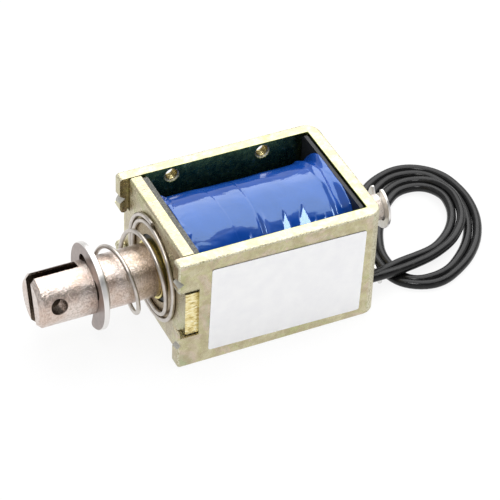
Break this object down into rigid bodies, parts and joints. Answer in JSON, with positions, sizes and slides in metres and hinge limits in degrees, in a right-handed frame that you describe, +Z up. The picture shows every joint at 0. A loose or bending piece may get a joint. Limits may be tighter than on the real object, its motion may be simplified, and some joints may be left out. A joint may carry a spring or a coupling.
{
  "type": "open frame pull solenoid",
  "caption": "Open-frame pull solenoid with clevis plunger, conical return spring, taped coil and coiled leads.",
  "frame": {"origin": "middle of the four tapped holes, on the outer face of the far side plate", "axes": "+X along the plunger axis from the clevis end to the rear wall, +Y out of the tapped side plate, +Z up"},
  "size_m": [0.0944, 0.0363, 0.0236],
  "materials": {
    "yellow_zinc": "satin",
    "nickel": "polished",
    "clip_steel": "satin",
    "spring_wire": "satin",
    "brass": "satin",
    "nylon": "satin",
    "tape": "gloss",
    "enamelled_wire": "gloss",
    "label_film": "satin",
    "lead_sleeve": "gloss",
    "tinned_copper": "satin"
  },
  "bodies": {
    "frame": {"yoke_frame": "yellow_zinc", "front_pole_plate": "yellow_zinc", "bobbin": "nylon", "coil_winding": "enamelled_wire", "tape_wrap": "tape", "guide_tube": "brass", "fixed_core": "nickel", "residual_shim": "brass", "return_spring": "spring_wire", "rating_label": "label_film", "splice_a": "lead_sleeve", "splice_b": "lead_sleeve", "lead_a": "lead_sleeve", "lead_b": "lead_sleeve", "lead_coil": "lead_sleeve", "lead_end_a": "tinned_copper", "lead_end_b": "tinned_copper"},
    "spring_clip": {"front_clip": "clip_steel"},
    "plunger": {"plunger": "nickel", "push_rod": "nickel", "rear_clip": "clip_steel"}
  },
  "joints": [
    {"name": "pull_in", "type": "slide", "parent": "frame", "child": "spring_clip", "axis": [1, 0, 0], "range_m": [0, 0.01], "stiffness_N_per_m": 300, "deforming": ["return_spring"]},
    {"name": "plunger_spin", "type": "hinge", "parent": "spring_clip", "child": "plunger", "pos_m": [0, -0.0144, 0], "axis": [1, 0, 0], "continuous": true}
  ]
}
